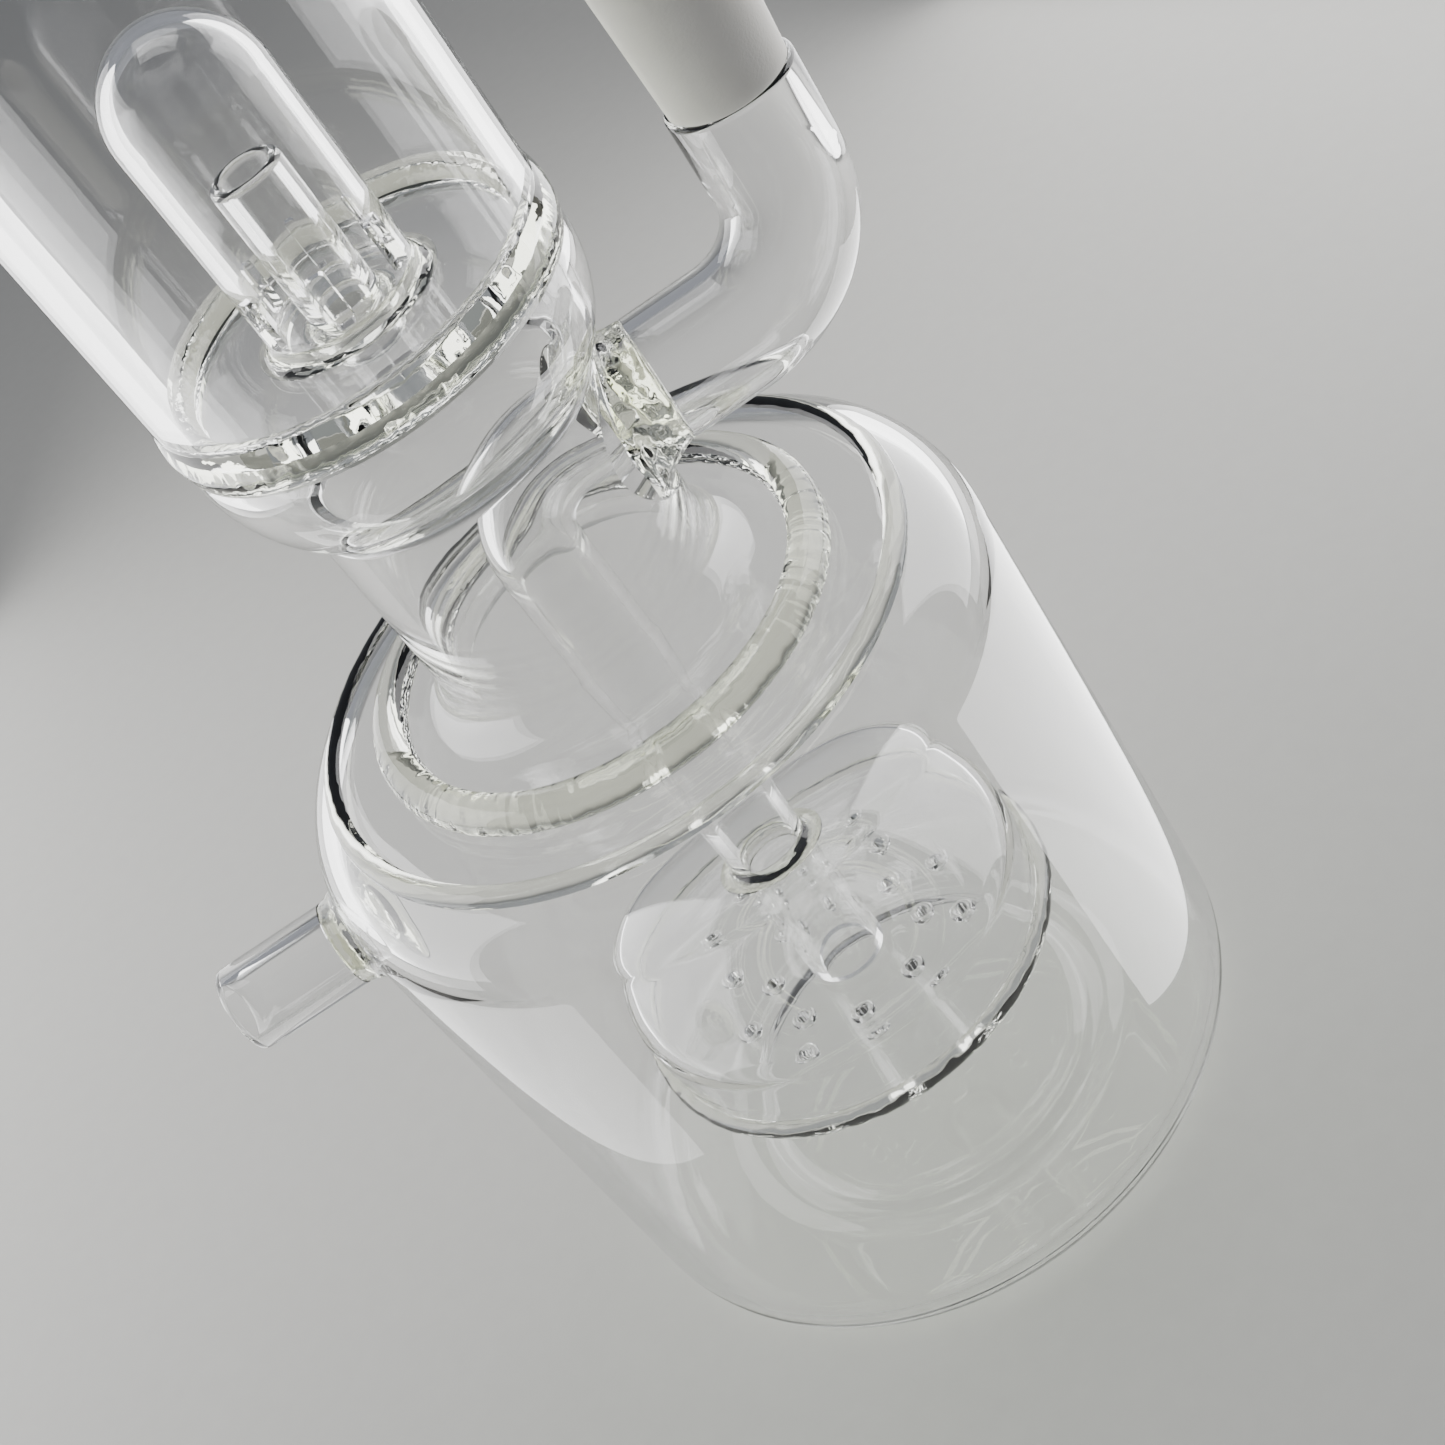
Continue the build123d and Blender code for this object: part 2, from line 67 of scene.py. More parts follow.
def add(tree, kind, settings=None, **sockets):
    """One node with its settings; a socket given another node's output is linked to it."""
    item = tree.nodes.new(kind)
    for key, value in (settings or {}).items():
        setattr(item, key, value)
    for key, value in sockets.items():
        plug = item.inputs[int(key[1:])] if key[0] == "i" and key[1:].isdigit() else item.inputs[key.replace("_", " ")]
        if isinstance(value, bpy.types.NodeSocket):
            tree.links.new(value, plug)
        else:
            plug.default_value = value
    return item


def blank_material(name):
    """An empty node material."""
    made = bpy.data.materials.new(name)
    made.use_nodes = True
    made.node_tree.nodes.clear()
    return made


def worked_glass(name, tint, ripple_mm, depth_mm, fine_mm, fine_depth_mm, clear, edge):
    """Borosilicate shaped in a flame: slow ripples from the working, finer ones over them."""
    made = blank_material(name)
    tree = made.node_tree
    where = add(tree, "ShaderNodeTexCoord").outputs["Object"]
    slow = add(tree, "ShaderNodeTexNoise", Vector=where, Scale=1 / (ripple_mm * MM), Detail=2.0)
    fine = add(tree, "ShaderNodeTexNoise", Vector=where, Scale=1 / (fine_mm * MM), Detail=3.0)
    swell = add(tree, "ShaderNodeBump", Height=slow.outputs[0], Distance=depth_mm * MM)
    skin = add(tree, "ShaderNodeBump", Height=fine.outputs[0], Distance=fine_depth_mm * MM,
               Normal=swell.outputs[0])
    # A wall seen on edge is a long way through, so the body colour of the glass shows there; the edge colour is made
    # much darker than that, as painted shade that draws dark outlines along the silhouettes.
    slant = add(tree, "ShaderNodeLayerWeight", Blend=0.5, Normal=skin.outputs[0])
    long_path_and_painted_shade = add(tree, "ShaderNodeMapRange", i0=slant.outputs["Facing"], i1=0.72, i2=1.0)
    body = add(tree, "ShaderNodeMix", {"data_type": "RGBA"}, i0=long_path_and_painted_shade.outputs[0], i6=linear(tint), i7=linear(edge))
    glass = add(tree, "ShaderNodeBsdfPrincipled", Base_Color=body.outputs[2], Roughness=0.0, IOR=1.47,
                Transmission_Weight=1.0, Normal=skin.outputs[0])
    through = add(tree, "ShaderNodeBsdfTransparent", Color=linear(clear))
    lamp = add(tree, "ShaderNodeLightPath").outputs["Is Shadow Ray"]
    mix = add(tree, "ShaderNodeMixShader", i0=lamp, i1=glass.outputs[0], i2=through.outputs[0])
    add(tree, "ShaderNodeOutputMaterial", Surface=mix.outputs[0])
    return made


# Clear borosilicate tube: colourless and fire-polished, with the faint draw ripple of hot-worked tube. Its grey-green
# edge colour is partly the long path through the glass and partly painted shade for dark outlines.
clear_glass = worked_glass("Borosilicate tube, fire polished", "#fefefe", 16.0, 0.030, 5.0, 0.002, "#f6f7f6",
                           "#b4bdb7")

# Fused joint: where two pieces were melted together there is no surface left, so light goes straight on.
fused_joint = blank_material("Borosilicate, fused through")
gone = add(fused_joint.node_tree, "ShaderNodeBsdfTransparent")
add(fused_joint.node_tree, "ShaderNodeOutputMaterial", Surface=gone.outputs[0])


def pick_none():
    """Leaves object mode with nothing selected."""
    if bpy.context.object and bpy.context.object.mode != "OBJECT":
        bpy.ops.object.mode_set(mode="OBJECT")
    bpy.ops.object.select_all(action="DESELECT")


def arc(centre, r, start, end, count):
    """Points along an arc, angles in degrees from the outward direction."""
    turn = [radians(start + (end - start) * n / count) for n in range(count + 1)]
    return [(centre[0] + r * cos(t), centre[1] + r * sin(t)) for t in turn]


def run(a, b, count):
    """Points along a straight stretch, both ends included."""
    return [(a[0] + (b[0] - a[0]) * n / count, a[1] + (b[1] - a[1]) * n / count) for n in range(count + 1)]


def turned(name, outline, steps, about=(0.0, 0.0), lying=False):
    """Spins an outline of (radius, run) points, in millimetres, into a closed piece of glass."""
    def place(point):
        if lying:
            return Vector((point[1], 0, about[1] + point[0])) * MM
        return Vector((about[0] + point[0], 0, point[1])) * MM

    points = [outline[0]]
    for p in outline[1:]:
        if hypot(p[0] - points[-1][0], p[1] - points[-1][1]) > 0.004:
            points.append(p)
    if points[0][0] > 0 and hypot(points[0][0] - points[-1][0], points[0][1] - points[-1][1]) > 0.004:
        points.append(points[0])
    pick_none()
    bpy.ops.mesh.primitive_plane_add(size=MM, location=place(points[0]))
    piece = bpy.context.object
    bpy.ops.object.transform_apply(location=True, rotation=True, scale=True)
    bpy.ops.object.mode_set(mode="EDIT")
    bpy.ops.mesh.select_mode(type="VERT")
    bpy.ops.mesh.select_all(action="SELECT")
    bpy.ops.mesh.merge(type="CENTER")
    for a, b in zip(points, points[1:]):
        step = place(b) - place(a)
        bpy.ops.mesh.extrude_region_move(TRANSFORM_OT_translate={"value": step})
    bpy.ops.mesh.select_all(action="SELECT")
    pivot = (0, 0, about[1] * MM) if lying else (about[0] * MM, 0, 0)
    bpy.ops.mesh.spin(steps=steps, angle=2 * pi, center=pivot, axis=(1, 0, 0) if lying else (0, 0, 1))
    bpy.ops.mesh.select_all(action="SELECT")
    bpy.ops.mesh.remove_doubles(threshold=0.003 * MM)
    bpy.ops.mesh.normals_make_consistent(inside=False)
    bpy.ops.object.mode_set(mode="OBJECT")
    piece.name = name
    piece.data.name = name
    return piece


def dress(piece, glass, angle=38):
    """Gives a piece its glass, and the fused joint as its second material."""
    piece.data.materials.clear()
    piece.data.materials.append(glass)
    piece.data.materials.append(fused_joint)
    pick_none()
    piece.select_set(True)
    bpy.context.view_layer.objects.active = piece
    bpy.ops.object.shade_smooth_by_angle(angle=radians(angle))


def fuse(piece, radii, heights, about=(0.0, 0.0), lying=False, slack=0.03):
    """Marks the faces lying wholly inside a band of radii and heights as fused through."""
    def inside(v):
        if lying:
            r = hypot(v.y, v.z - about[1] * MM)
            s = v.x
        else:
            r = hypot(v.x - about[0] * MM, v.y)
            s = v.z
        return ((radii[0] - slack) * MM <= r <= (radii[1] + slack) * MM
                and (heights[0] - slack) * MM <= s <= (heights[1] + slack) * MM)

    held = [inside(v.co) for v in piece.data.vertices]
    for face in piece.data.polygons:
        if all(held[i] for i in face.vertices):
            face.material_index = 1


def settle(piece, node):
    """Rides the piece on the body in place of its CAD node."""
    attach(piece, "root")
    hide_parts(node)


def heights_of(node):
    """Lowest and highest point of a CAD node, in millimetres."""
    low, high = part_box(node)
    return low[2] / MM, high[2] / MM


base_low, base_high = heights_of("jar_base")
jar_in = JAR_R - JAR_WALL
corner_at = (JAR_R - BASE_CORNER, base_low + BASE_CORNER)


def punt(r, level, swell):
    """Height of the base at a radius: raised middle, easing down to the foot ring."""
    t = min(max((r - PUNT_IN) / (PUNT_OUT - PUNT_IN), 0), 1)
    ease = t * t * (3 - 2 * t)
    ridge = swell * sin(pi * min(max((r - PUNT_OUT + 1.5) / 6, 0), 1)) ** 2
    return level + PUNT_RISE * (1 - ease) + ridge


under = [(r, punt(r, base_low, 0)) for r in [corner_at[0] * n / 44 for n in range(45)]]
floor_in = [(r, punt(r, base_low + JAR_WALL, PUNT_SWELL)) for r in [corner_at[0] * n / 44 for n in range(44, -1, -1)]]
outline = under + arc(corner_at, BASE_CORNER, -90, 0, 18)
outline += [(JAR_R, base_high), (jar_in, base_high)]
outline += arc(corner_at, BASE_CORNER - JAR_WALL, 0, -90, 14) + floor_in
jar_base = turned("Jar_base", outline, 240)
dress(jar_base, clear_glass)
fuse(jar_base, (jar_in, JAR_R), (base_high, base_high))
settle(jar_base, "jar_base")


# Jar wall: the straight part of the same tube, as drawn, with a patch melted out on one side where
# the hose nipple is sealed in.
NIPPLE_SEAL_R = 8.8

bore_low, bore_high = heights_of("nipple_tube")
NIPPLE_Z = (bore_low + bore_high) / 2


def cut_with(piece, tool):
    """Takes the shape of a tool out of a piece and throws the tool away."""
    pick_none()
    piece.select_set(True)
    bpy.context.view_layer.objects.active = piece
    change = piece.modifiers.new("Cut", "BOOLEAN")
    change.operation = "DIFFERENCE"
    change.solver = "EXACT"
    change.object = tool
    bpy.ops.object.modifier_apply(modifier=change.name)
    bpy.data.objects.remove(tool)


def drill(r, length, middle, turn):
    """A rod to cut a round way with, sizes and middle in millimetres."""
    pick_none()
    bpy.ops.mesh.primitive_cylinder_add(vertices=96, radius=r * MM, depth=length * MM,
                                        location=Vector(middle) * MM, rotation=turn)
    return bpy.context.object


wall_low, wall_high = heights_of("jar_wall")
outline = run((JAR_R, wall_low), (JAR_R, wall_high), 12) + run((jar_in, wall_high), (jar_in, wall_low), 12)
jar_wall = turned("Jar_wall", outline, 240)
cut_with(jar_wall, drill(NIPPLE_SEAL_R, 30, (-JAR_R, 0, NIPPLE_Z), (0, pi / 2, 0)))
dress(jar_wall, clear_glass)
fuse(jar_wall, (jar_in, JAR_R), (wall_low, wall_low))
fuse(jar_wall, (jar_in, JAR_R), (wall_high, wall_high))
fuse(jar_wall, (NIPPLE_SEAL_R, NIPPLE_SEAL_R), (-JAR_R, -40), (0, NIPPLE_Z), lying=True)
settle(jar_wall, "jar_wall")


# Jar shoulder: the tube closed in by hand to a flat top with a round opening. A low raised seam
# runs round it where the closing was finished.
SHOULDER_R = 12.0
OPENING_R = 30.0
RING_R = 29.2
RING_BEAD = 2.6
RING_Z = 95.0
SEAM_BEAD = 1.6
SEAM_SUNK = 0.7
SEAM_AT = 39.6

shoulder_low, shoulder_top = heights_of("jar_shoulder")
bend_at = (JAR_R - SHOULDER_R, shoulder_top - SHOULDER_R)
seam_turn = 90 - degrees(asin((SEAM_AT - bend_at[0]) / SHOULDER_R))
sunk_r = SHOULDER_R - SEAM_SUNK
seam_half = degrees(acos((SHOULDER_R ** 2 + sunk_r ** 2 - SEAM_BEAD ** 2) / (2 * SHOULDER_R * sunk_r)))
top_lap = RING_R + sqrt(RING_BEAD ** 2 - (RING_Z - shoulder_top) ** 2)
side_lap = RING_Z - sqrt(RING_BEAD ** 2 - (OPENING_R - RING_R) ** 2)
inner_top = shoulder_top - JAR_WALL

outline = [(JAR_R, shoulder_low), (JAR_R, shoulder_low + 0.05)]
outline += arc(bend_at, SHOULDER_R, 1, seam_turn - seam_half, 20)
outline += arc(bend_at, SHOULDER_R, seam_turn - seam_half, seam_turn + seam_half, 6)
outline += arc(bend_at, SHOULDER_R, seam_turn + seam_half, 90, 6)
outline += [(top_lap, shoulder_top), (OPENING_R, shoulder_top), (OPENING_R, side_lap), (OPENING_R, inner_top)]
outline += arc(bend_at, SHOULDER_R - JAR_WALL, 90, 1, 26)
outline += [(jar_in, shoulder_low + 0.05), (jar_in, shoulder_low)]
jar_shoulder = turned("Jar_shoulder", outline, 240)
cut_with(jar_shoulder, drill(NIPPLE_SEAL_R, 30, (-JAR_R, 0, NIPPLE_Z), (0, pi / 2, 0)))
dress(jar_shoulder, clear_glass)
fuse(jar_shoulder, (NIPPLE_SEAL_R, NIPPLE_SEAL_R), (-JAR_R, -40), (0, NIPPLE_Z), lying=True)
fuse(jar_shoulder, (jar_in, JAR_R), (shoulder_low, shoulder_low))
fuse(jar_shoulder, (OPENING_R, top_lap), (shoulder_top, shoulder_top))
fuse(jar_shoulder, (OPENING_R, OPENING_R), (side_lap, shoulder_top))
seam_r = [bend_at[0] + SHOULDER_R * cos(radians(seam_turn + k * seam_half)) for k in (1, -1)]
fuse(jar_shoulder, seam_r, (shoulder_top - 3, shoulder_top))
settle(jar_shoulder, "jar_shoulder")


# Shoulder seam: a bead of the same glass, thicker than the wall, standing just proud. Thick worked
# glass shows a faint yellow-green body colour and fine crinkles where it chilled.
# Its darker edge colour is partly the long path through thick glass and partly painted shade that draws dark outlines.
weld_glass = worked_glass("Borosilicate weld, thick and crinkled", "#f4f6e6", 5.0, 0.05, 1.8,
                          0.008, "#edf2e2", "#c6ccae")


def crinkle(piece, grain_mm, depth_mm, where=lambda r, z: 1.0):
    """Pushes free surface in and out as glass sets when it is worked; where(radius, height) says how much."""
    held = set()
    for face in piece.data.polygons:
        if face.material_index == 1:
            held.update(face.vertices)
    loose = piece.vertex_groups.new(name="worked")
    for v in piece.data.vertices:
        if v.index not in held:
            loose.add([v.index], where(hypot(v.co.x, v.co.y) / MM, v.co.z / MM), "REPLACE")
    grain = bpy.data.textures.new(piece.name + " grain", "CLOUDS")
    grain.noise_scale = grain_mm * MM
    grain.noise_depth = 2
    pick_none()
    piece.select_set(True)
    bpy.context.view_layer.objects.active = piece
    change = piece.modifiers.new("Crinkle", "DISPLACE")
    change.texture = grain
    change.texture_coords = "LOCAL"
    change.strength = 2 * depth_mm * MM
    change.mid_level = 0.5
    change.vertex_group = loose.name
    bpy.ops.object.modifier_apply(modifier=change.name)
    piece.vertex_groups.clear()


seam_centre = (bend_at[0] + sunk_r * cos(radians(seam_turn)), bend_at[1] + sunk_r * sin(radians(seam_turn)))
side = [arc(bend_at, SHOULDER_R, seam_turn + k * seam_half, seam_turn, 1)[0] for k in (-1, 1)]
sweep = [degrees(atan2(p[1] - seam_centre[1], p[0] - seam_centre[0])) for p in side]
outline = arc(seam_centre, SEAM_BEAD, sweep[0], sweep[1], 14)
outline += arc(bend_at, SHOULDER_R, seam_turn + seam_half, seam_turn - seam_half, 6)[1:]
shoulder_seam = turned("Shoulder_seam", outline, 300)
dress(shoulder_seam, weld_glass)
for face in shoulder_seam.data.polygons:
    gaps = [hypot(hypot(v.x, v.y) - bend_at[0] * MM, v.z - bend_at[1] * MM)
            for v in [shoulder_seam.data.vertices[i].co for i in face.vertices]]
    if max(gaps) < (SHOULDER_R + 0.02) * MM:
        face.material_index = 1
crinkle(shoulder_seam, 3.5, 0.12)
settle(shoulder_seam, "shoulder_seam")


# Neck foot: the lower end of the 38 mm neck tube, flared in the flame to a flat flange.
NECK_R = 19.0
NECK_IN = 16.5
FOOT_EDGE = 28.4
FOOT_FILLET = 5.0

foot_low, foot_high = heights_of("neck_foot")
flange_top = foot_high - FOOT_FILLET
curl_at = (NECK_R + FOOT_FILLET, foot_high)
flange_lap = RING_R - sqrt(RING_BEAD ** 2 - (flange_top - RING_Z) ** 2)
under_lap = RING_R - sqrt(RING_BEAD ** 2 - (RING_Z - foot_low) ** 2)

outline = [(NECK_IN, foot_high)] + arc(curl_at, curl_at[0] - NECK_IN, 181, 270, 20)
outline += [(under_lap, foot_low), (FOOT_EDGE, foot_low), (FOOT_EDGE, flange_top), (flange_lap, flange_top)]
outline += arc(curl_at, FOOT_FILLET, 270, 181, 18) + [(NECK_R, foot_high)]
neck_foot = turned("Neck_foot", outline, 200)
dress(neck_foot, clear_glass)
fuse(neck_foot, (NECK_IN, NECK_R), (foot_high, foot_high))
fuse(neck_foot, (flange_lap, FOOT_EDGE), (flange_top, flange_top))
fuse(neck_foot, (under_lap, FOOT_EDGE), (foot_low, foot_low))
fuse(neck_foot, (FOOT_EDGE, FOOT_EDGE), (foot_low, flange_top))
settle(neck_foot, "neck_foot")


# Neck weld ring: the thick run of glass that closes the flange into the opening of the shoulder.
# It was fed in with a rod from outside, so its crown is smooth and its underside is crinkled.
ring_at = (RING_R, RING_Z)


def bearing(point):
    """Angle of a point seen from the middle of the ring's section."""
    return degrees(atan2(point[1] - RING_Z, point[0] - RING_R))


crown = arc(ring_at, RING_BEAD, bearing((flange_lap, flange_top)), bearing((top_lap, shoulder_top)), 22)
belly = arc(ring_at, RING_BEAD, bearing((OPENING_R, side_lap)), bearing((under_lap, foot_low)), 14)
outline = crown + [(OPENING_R, shoulder_top)] + belly + [(FOOT_EDGE, foot_low), (FOOT_EDGE, flange_top)]
neck_weld_ring = turned("Neck_weld_ring", outline, 720)
dress(neck_weld_ring, weld_glass, 50)
fuse(neck_weld_ring, (OPENING_R, top_lap), (shoulder_top, shoulder_top))
fuse(neck_weld_ring, (OPENING_R, OPENING_R), (side_lap, shoulder_top))
fuse(neck_weld_ring, (under_lap, FOOT_EDGE), (foot_low, foot_low))
fuse(neck_weld_ring, (FOOT_EDGE, FOOT_EDGE), (foot_low, flange_top))
fuse(neck_weld_ring, (flange_lap, FOOT_EDGE), (flange_top, flange_top))
crinkle(neck_weld_ring, 1.3, 0.13, lambda r, z: 1.0 if z < RING_Z - 0.6 else 0.15)
settle(neck_weld_ring, "neck_weld_ring")


# Neck tube: 38 mm tube between foot and upper chamber, opened on one side for the ring seal.
SEAL_R = 10.5

seal_low, seal_high = heights_of("ring_seal")
SEAL_Z = (seal_low + seal_high) / 2

neck_low, neck_high = heights_of("neck_tube")
outline = run((NECK_R, neck_low), (NECK_R, neck_high), 8) + run((NECK_IN, neck_high), (NECK_IN, neck_low), 8)
neck_tube = turned("Neck_tube", outline, 200)
cut_with(neck_tube, drill(SEAL_R, 30, (25, 0, SEAL_Z), (0, pi / 2, 0)))
dress(neck_tube, clear_glass)
fuse(neck_tube, (NECK_IN, NECK_R), (neck_low, neck_low))
fuse(neck_tube, (NECK_IN, NECK_R), (neck_high, neck_high))
fuse(neck_tube, (SEAL_R, SEAL_R), (0, 30), (0, SEAL_Z), lying=True)
settle(neck_tube, "neck_tube")


# Upper closure: the rounded underside of the 50 mm upper chamber, drawn down into the neck with a
# smooth hollow curve.
UPPER_R = 25.0
UPPER_IN = 22.5
BOWL_CORNER = 18.0
BOWL_FILLET = 2.2
BOWL_Z = 142.0

bowl_low, bowl_high = heights_of("upper_closure")
bowl_at = (UPPER_R - BOWL_CORNER, BOWL_Z)
small = BOWL_CORNER - (UPPER_R - UPPER_IN)
hollow_at = (NECK_R + BOWL_FILLET, bowl_low)
meet = degrees(atan2(bowl_low - BOWL_Z, hollow_at[0] - bowl_at[0]))
throat = -degrees(acos((NECK_IN - bowl_at[0]) / small))
outline = [(NECK_R, bowl_low)] + arc(hollow_at, BOWL_FILLET, 179, 180 + meet, 8)
outline += arc(bowl_at, BOWL_CORNER, meet, -1, 20) + [(UPPER_R, BOWL_Z), (UPPER_R, bowl_high)]
outline += [(UPPER_IN, bowl_high), (UPPER_IN, BOWL_Z)] + arc(bowl_at, small, -1, throat, 18)
outline += [(NECK_IN, bowl_low)]
upper_closure = turned("Upper_closure", outline, 200)
dress(upper_closure, clear_glass)
fuse(upper_closure, (NECK_IN, NECK_R), (bowl_low, bowl_low))
fuse(upper_closure, (UPPER_IN, UPPER_R), (bowl_high, bowl_high))
settle(upper_closure, "upper_closure")


# Floor disc: a flat disc sealed across the upper chamber, bored for the riser.
FLOOR_EDGE = 21.5
FLOOR_LIP = 20.6
RISER_R = 4.4
RISER_IN = 2.9
RISER_WELD = 1.6
DOME_R = 9.5
DOME_IN = 8.0
DOME_WELD = 2.0

floor_low, floor_top = heights_of("floor_disc")
rings = [FLOOR_LIP, DOME_R + DOME_WELD, DOME_R, DOME_IN, RISER_R + RISER_WELD, RISER_R]
outline = [(RISER_R, floor_low), (FLOOR_LIP, floor_low), (FLOOR_EDGE, floor_low), (FLOOR_EDGE, floor_top)]
outline += [(r, floor_top) for r in rings]
floor_disc = turned("Floor_disc", outline, 160)
dress(floor_disc, clear_glass)
fuse(floor_disc, (FLOOR_EDGE, FLOOR_EDGE), (floor_low, floor_top))
fuse(floor_disc, (FLOOR_LIP, FLOOR_EDGE), (floor_low, floor_low))
fuse(floor_disc, (FLOOR_LIP, FLOOR_EDGE), (floor_top, floor_top))
fuse(floor_disc, (DOME_IN, DOME_R + DOME_WELD), (floor_top, floor_top))
fuse(floor_disc, (RISER_R, RISER_R + RISER_WELD), (floor_top, floor_top))
fuse(floor_disc, (RISER_R, RISER_R), (floor_low, floor_top))
settle(floor_disc, "floor_disc")


# Floor weld ring: the seal that holds the floor and joins the two lengths of 50 mm tube. It bulges
# slightly outside, where it is smooth, and lies in a thick crinkled run inside.
weld_low, weld_high = heights_of("floor_weld_ring")
weld_mid = (weld_low + weld_high) / 2
WELD_PROUD = 0.6


def bulge(a, b, rise, count):
    """A shallow curve from a to b, swelling to the left of the way it goes."""
    along = (b[0] - a[0], b[1] - a[1])
    length = hypot(*along)
    across = (-along[1] / length, along[0] / length)
    points = []
    for n in range(count + 1):
        t = n / count
        lift = rise * 4 * t * (1 - t)
        points.append((a[0] + along[0] * t + across[0] * lift, a[1] + along[1] * t + across[1] * lift))
    return points


outline = bulge((UPPER_R, weld_low), (UPPER_R, weld_high), -WELD_PROUD, 14)
outline += bulge((UPPER_IN, weld_high), (FLOOR_LIP, floor_top), -0.45, 10)
outline += [(FLOOR_EDGE, floor_top), (FLOOR_EDGE, floor_low)]
outline += bulge((FLOOR_LIP, floor_low), (UPPER_IN, weld_low), -0.45, 10)
floor_weld_ring = turned("Floor_weld_ring", outline, 600)
dress(floor_weld_ring, weld_glass, 50)
fuse(floor_weld_ring, (UPPER_IN, UPPER_R), (weld_high, weld_high))
fuse(floor_weld_ring, (UPPER_IN, UPPER_R), (weld_low, weld_low))
fuse(floor_weld_ring, (FLOOR_LIP, FLOOR_EDGE), (floor_top, floor_top))
fuse(floor_weld_ring, (FLOOR_LIP, FLOOR_EDGE), (floor_low, floor_low))
fuse(floor_weld_ring, (FLOOR_EDGE, FLOOR_EDGE), (floor_low, floor_top))
crinkle(floor_weld_ring, 1.3, 0.13, lambda r, z: 1.0 if r < UPPER_IN + 0.1 else 0.12)
settle(floor_weld_ring, "floor_weld_ring")


# Upper tube: the open 50 mm chamber above the floor, left as drawn.
tube_low, tube_high = heights_of("upper_tube")
outline = run((UPPER_R, tube_low), (UPPER_R, tube_high), 14) + run((UPPER_IN, tube_high), (UPPER_IN, tube_low), 14)
upper_tube = turned("Upper_tube", outline, 200)
dress(upper_tube, clear_glass)
fuse(upper_tube, (UPPER_IN, UPPER_R), (tube_low, tube_low))
fuse(upper_tube, (UPPER_IN, UPPER_R), (tube_high, tube_high))
settle(upper_tube, "upper_tube")


# Mouth rim: the open end of the tube, heated until it drew up into a rounded, thicker lip.
rim_low, rim_high = heights_of("mouth_rim")
RIM_PROUD = 1.4

outline = [(UPPER_IN, rim_low), (UPPER_R, rim_low)]
outline += arc((UPPER_R - 0.1, rim_low + 1.6), 1.5, -80, 75, 12)
outline += arc((UPPER_R - 0.95, rim_high - 1.55), 1.5, 80, 180, 10)
mouth_rim = turned("Mouth_rim", outline, 200)
dress(mouth_rim, clear_glass, 60)
fuse(mouth_rim, (UPPER_IN, UPPER_R), (rim_low, rim_low))
settle(mouth_rim, "mouth_rim")


# Dome: a test-tube end of 19 mm tube stood over the riser, with slots opened near the floor for the
# gas to bubble out.
SLOTS = 6
SLOT_W = 2.2
SLOT_LOW = 150.2
SLOT_H = 6.5

dome_low, dome_high = heights_of("dome")
spring = (0.0, dome_high - DOME_R)
outline = [(0.0, dome_high)] + arc(spring, DOME_R, 88, 0, 26) + run((DOME_R, spring[1]), (DOME_R, SLOT_LOW), 8)
outline += [(DOME_R, dome_low), (DOME_IN, dome_low)] + run((DOME_IN, SLOT_LOW), (DOME_IN, spring[1]), 8)
outline += arc(spring, DOME_IN, 0, 88, 26) + [(0.0, spring[1] + DOME_IN)]
dome = turned("Dome", outline, 120)
for n in range(SLOTS):
    pick_none()
    turn = radians(30 + 360 * n / SLOTS)
    middle = Vector((DOME_R * cos(turn), DOME_R * sin(turn), SLOT_LOW + SLOT_H / 2)) * MM
    bpy.ops.mesh.primitive_cube_add(size=MM, location=middle, rotation=(0, 0, turn), scale=(5, SLOT_W, SLOT_H))
    slot = bpy.context.object
    bpy.ops.object.mode_set(mode="EDIT")
    bpy.ops.mesh.bevel(offset=0.5 * MM, segments=4, affect="EDGES")
    bpy.ops.object.mode_set(mode="OBJECT")
    cut_with(dome, slot)
dress(dome, clear_glass)
fuse(dome, (DOME_IN, DOME_R), (dome_low, dome_low))
settle(dome, "dome")


# Dome weld and riser weld: small hollow fillets of weld glass where each tube stands on the floor.
def fillet_outline(r, leg, level, count=10):
    """Section of a hollow fillet against a wall of radius r, standing on a level."""
    return [(r, level), (r + leg, level)] + arc((r + leg, level + leg), leg, 268, 182, count) + [(r, level + leg)]


weld_names = (("Dome_weld", "dome_weld", DOME_R, DOME_WELD), ("Riser_weld", "riser_weld", RISER_R, RISER_WELD))
for name, node, r, leg in weld_names:
    weld = turned(name, fillet_outline(r, leg, floor_top), 220)
    dress(weld, weld_glass)
    fuse(weld, (r, r + leg), (floor_top, floor_top))
    fuse(weld, (r, r), (floor_top, floor_top + leg))
    crinkle(weld, 2.2, 0.12)
    settle(weld, node)


# Riser: a short length of thick-walled tube through the floor, its cut ends fire polished.
riser_low, riser_high = heights_of("riser_tube")
LIP = 0.6
middle_r = (RISER_R + RISER_IN) / 2
outline = [(RISER_R, riser_low + LIP), (RISER_R, floor_low), (RISER_R, floor_top), (RISER_R, floor_top + RISER_WELD)]
outline += run((RISER_R, floor_top + RISER_WELD + 1), (RISER_R, riser_high - LIP), 4)
outline += arc((middle_r, riser_high - 0.75), 0.75, 5, 175, 10)
outline += run((RISER_IN, riser_high - LIP - 0.2), (RISER_IN, riser_low + LIP + 0.2), 5)
outline += arc((middle_r, riser_low + 0.75), 0.75, 185, 355, 10)
riser_tube = turned("Riser_tube", outline, 96)
dress(riser_tube, clear_glass, 60)
fuse(riser_tube, (RISER_R, RISER_R), (floor_low, floor_top + RISER_WELD))
settle(riser_tube, "riser_tube")


# Side arm: 16 mm tube bent through a right angle, from the ring seal up to the ground socket.
ARM_R = 8.0
ARM_IN = 6.25
ARM_BEND = 14.0
SOCKET_FOOT_R = ARM_IN + 1.15

